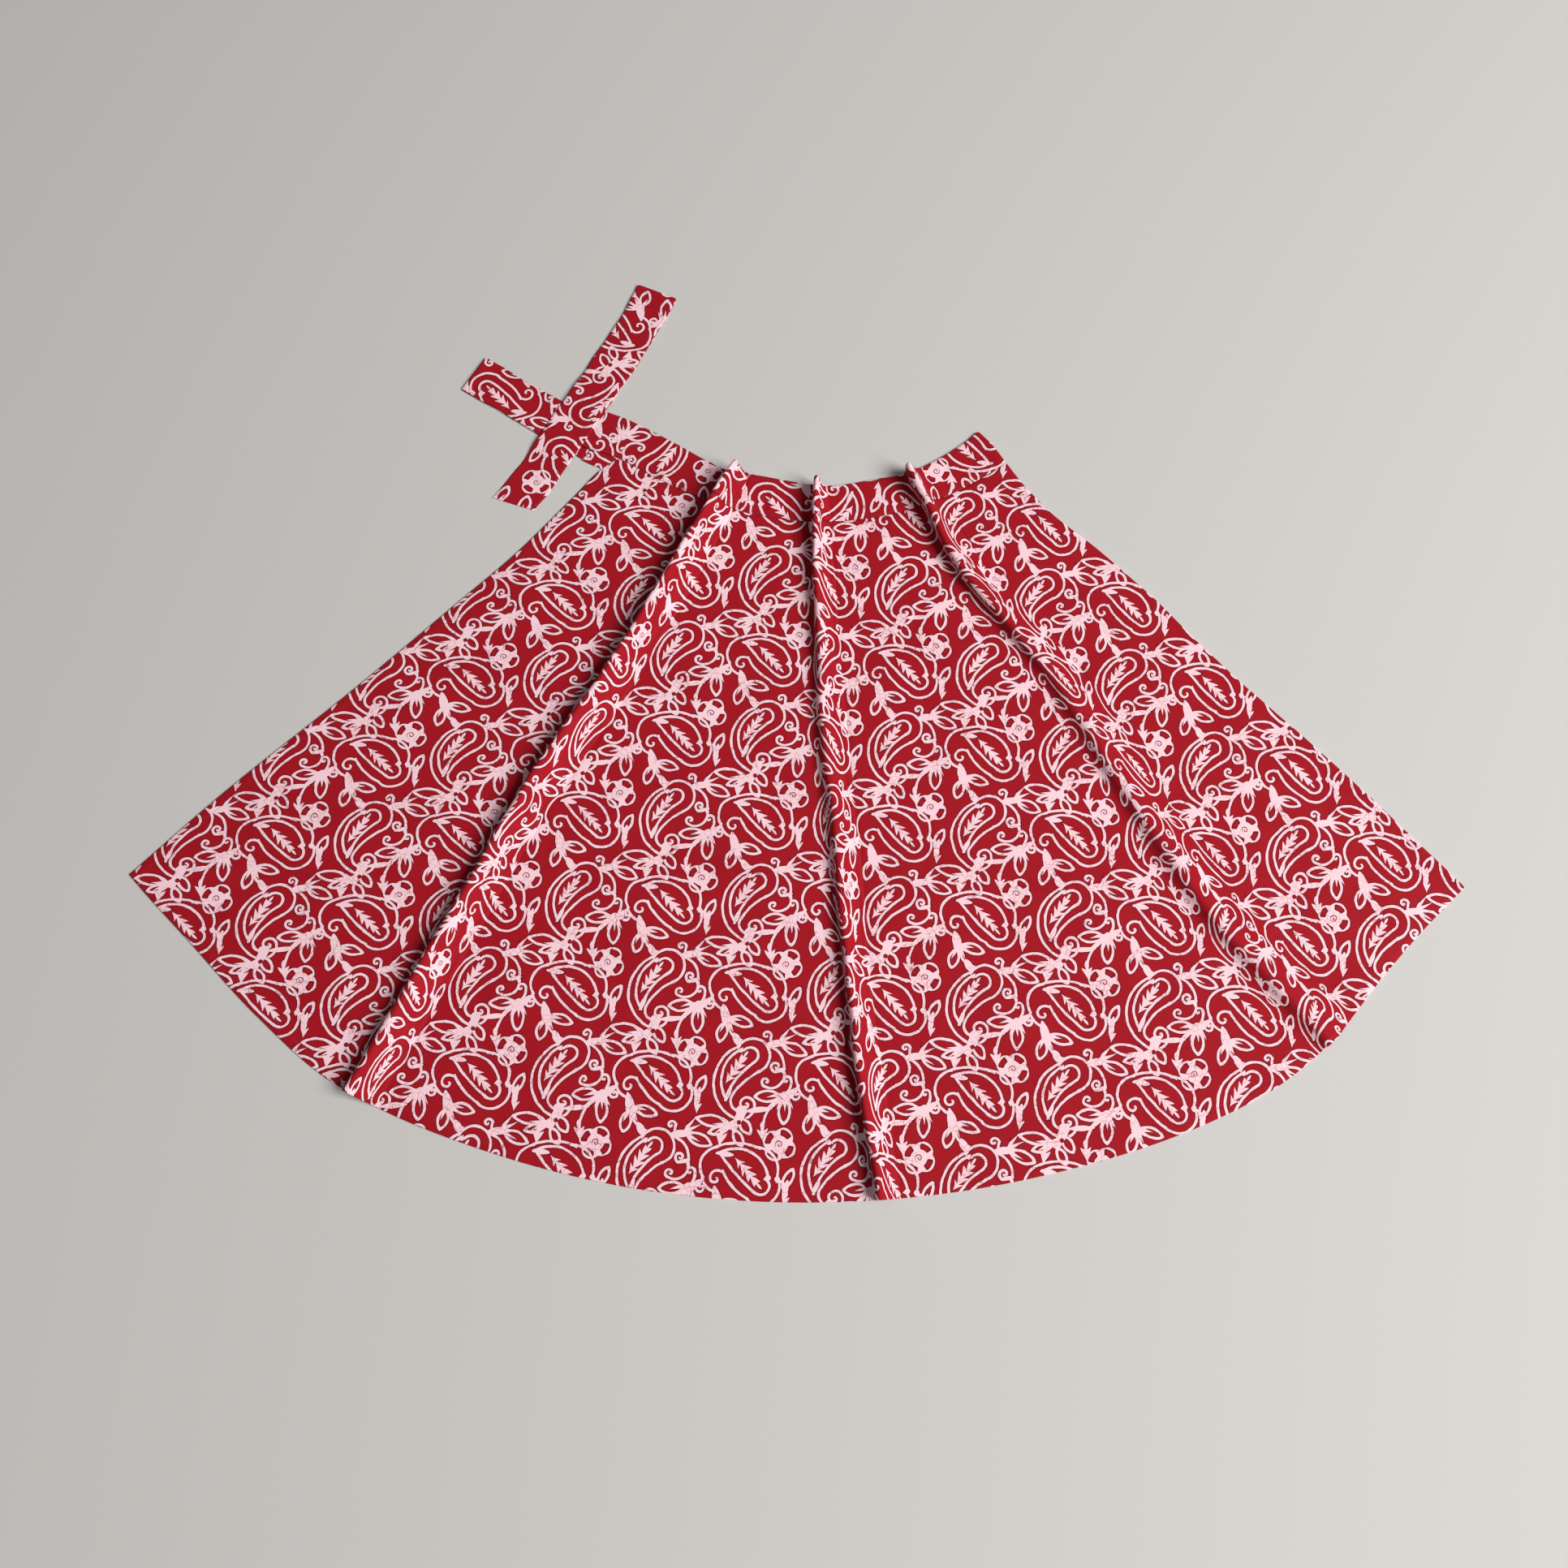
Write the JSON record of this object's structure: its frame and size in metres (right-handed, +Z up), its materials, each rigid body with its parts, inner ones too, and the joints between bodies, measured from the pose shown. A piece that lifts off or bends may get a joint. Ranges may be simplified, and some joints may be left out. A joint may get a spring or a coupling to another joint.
{
  "type": "wrap skirt",
  "caption": "Flared wrap skirt of printed cotton, folded in half and laid flat, with soft folds, a narrow waistband and its tie ends crossed at one side.",
  "frame": {"origin": "on the surface that the skirt lies on, under the middle of its outline, ties included", "axes": "+X along the longest extent, towards the folded edge; +Y towards the waistband; +Z up out of the cloth"},
  "size_m": [1.5186, 1.122, 0.034],
  "materials": {
    "printed_cotton": "plain weave cotton, red ground with an off-white wax-resist print of paisleys, small roses and leafy vines, matt with a faint sheen"
  },
  "bodies": {
    "root": {"skirt_back": "printed_cotton", "waistband_back": "printed_cotton", "skirt_front": "printed_cotton", "waistband_front": "printed_cotton", "tie_back": "printed_cotton", "tie_front": "printed_cotton"}
  },
  "joints": []
}
